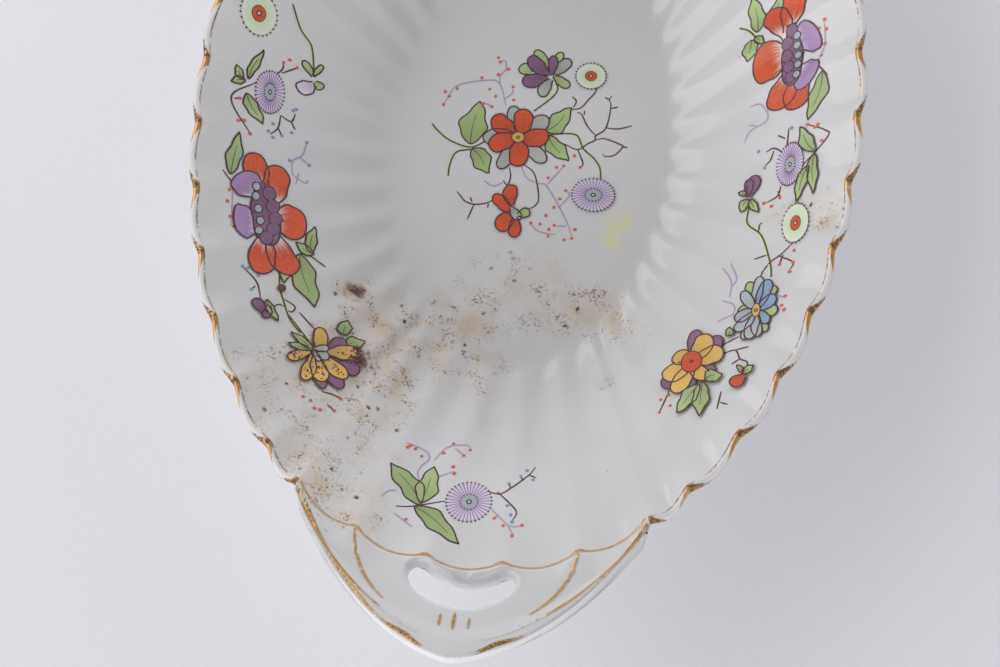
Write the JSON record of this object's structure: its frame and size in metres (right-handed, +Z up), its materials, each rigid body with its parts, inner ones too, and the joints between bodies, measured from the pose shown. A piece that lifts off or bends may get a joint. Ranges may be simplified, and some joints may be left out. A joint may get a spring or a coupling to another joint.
{
  "type": "oval serving dish",
  "caption": "Oval glazed porcelain serving dish with a fluted flaring wall, scalloped gilt rim, oval foot ring and a pierced lobe handle at each end.",
  "frame": {"origin": "on the table, under the middle of the foot ring", "axes": "+Z up, Y along the dish from handle_front at -Y to handle_back at +Y, X across it"},
  "size_m": [0.1348, 0.2324, 0.0455],
  "materials": {
    "porcelain": "glossy white glaze, lightly stained inside",
    "gilding": "fired bright gold, worn in places"
  },
  "bodies": {
    "root": {"bowl": "porcelain", "foot_ring": "porcelain", "handle_front": "porcelain", "handle_back": "porcelain", "rim_gilding_left": "gilding", "rim_gilding_right": "gilding", "root_gilding_front": "gilding", "root_gilding_back": "gilding", "border_gilding_front_left": "gilding", "arc_gilding_front_left": "gilding", "border_gilding_front_right": "gilding", "arc_gilding_front_right": "gilding", "dash_gilding_front_left": "gilding", "dash_gilding_front_middle": "gilding", "dash_gilding_front_right": "gilding", "border_gilding_back_left": "gilding", "arc_gilding_back_left": "gilding", "border_gilding_back_right": "gilding", "arc_gilding_back_right": "gilding", "dash_gilding_back_left": "gilding", "dash_gilding_back_middle": "gilding", "dash_gilding_back_right": "gilding"}
  },
  "joints": []
}
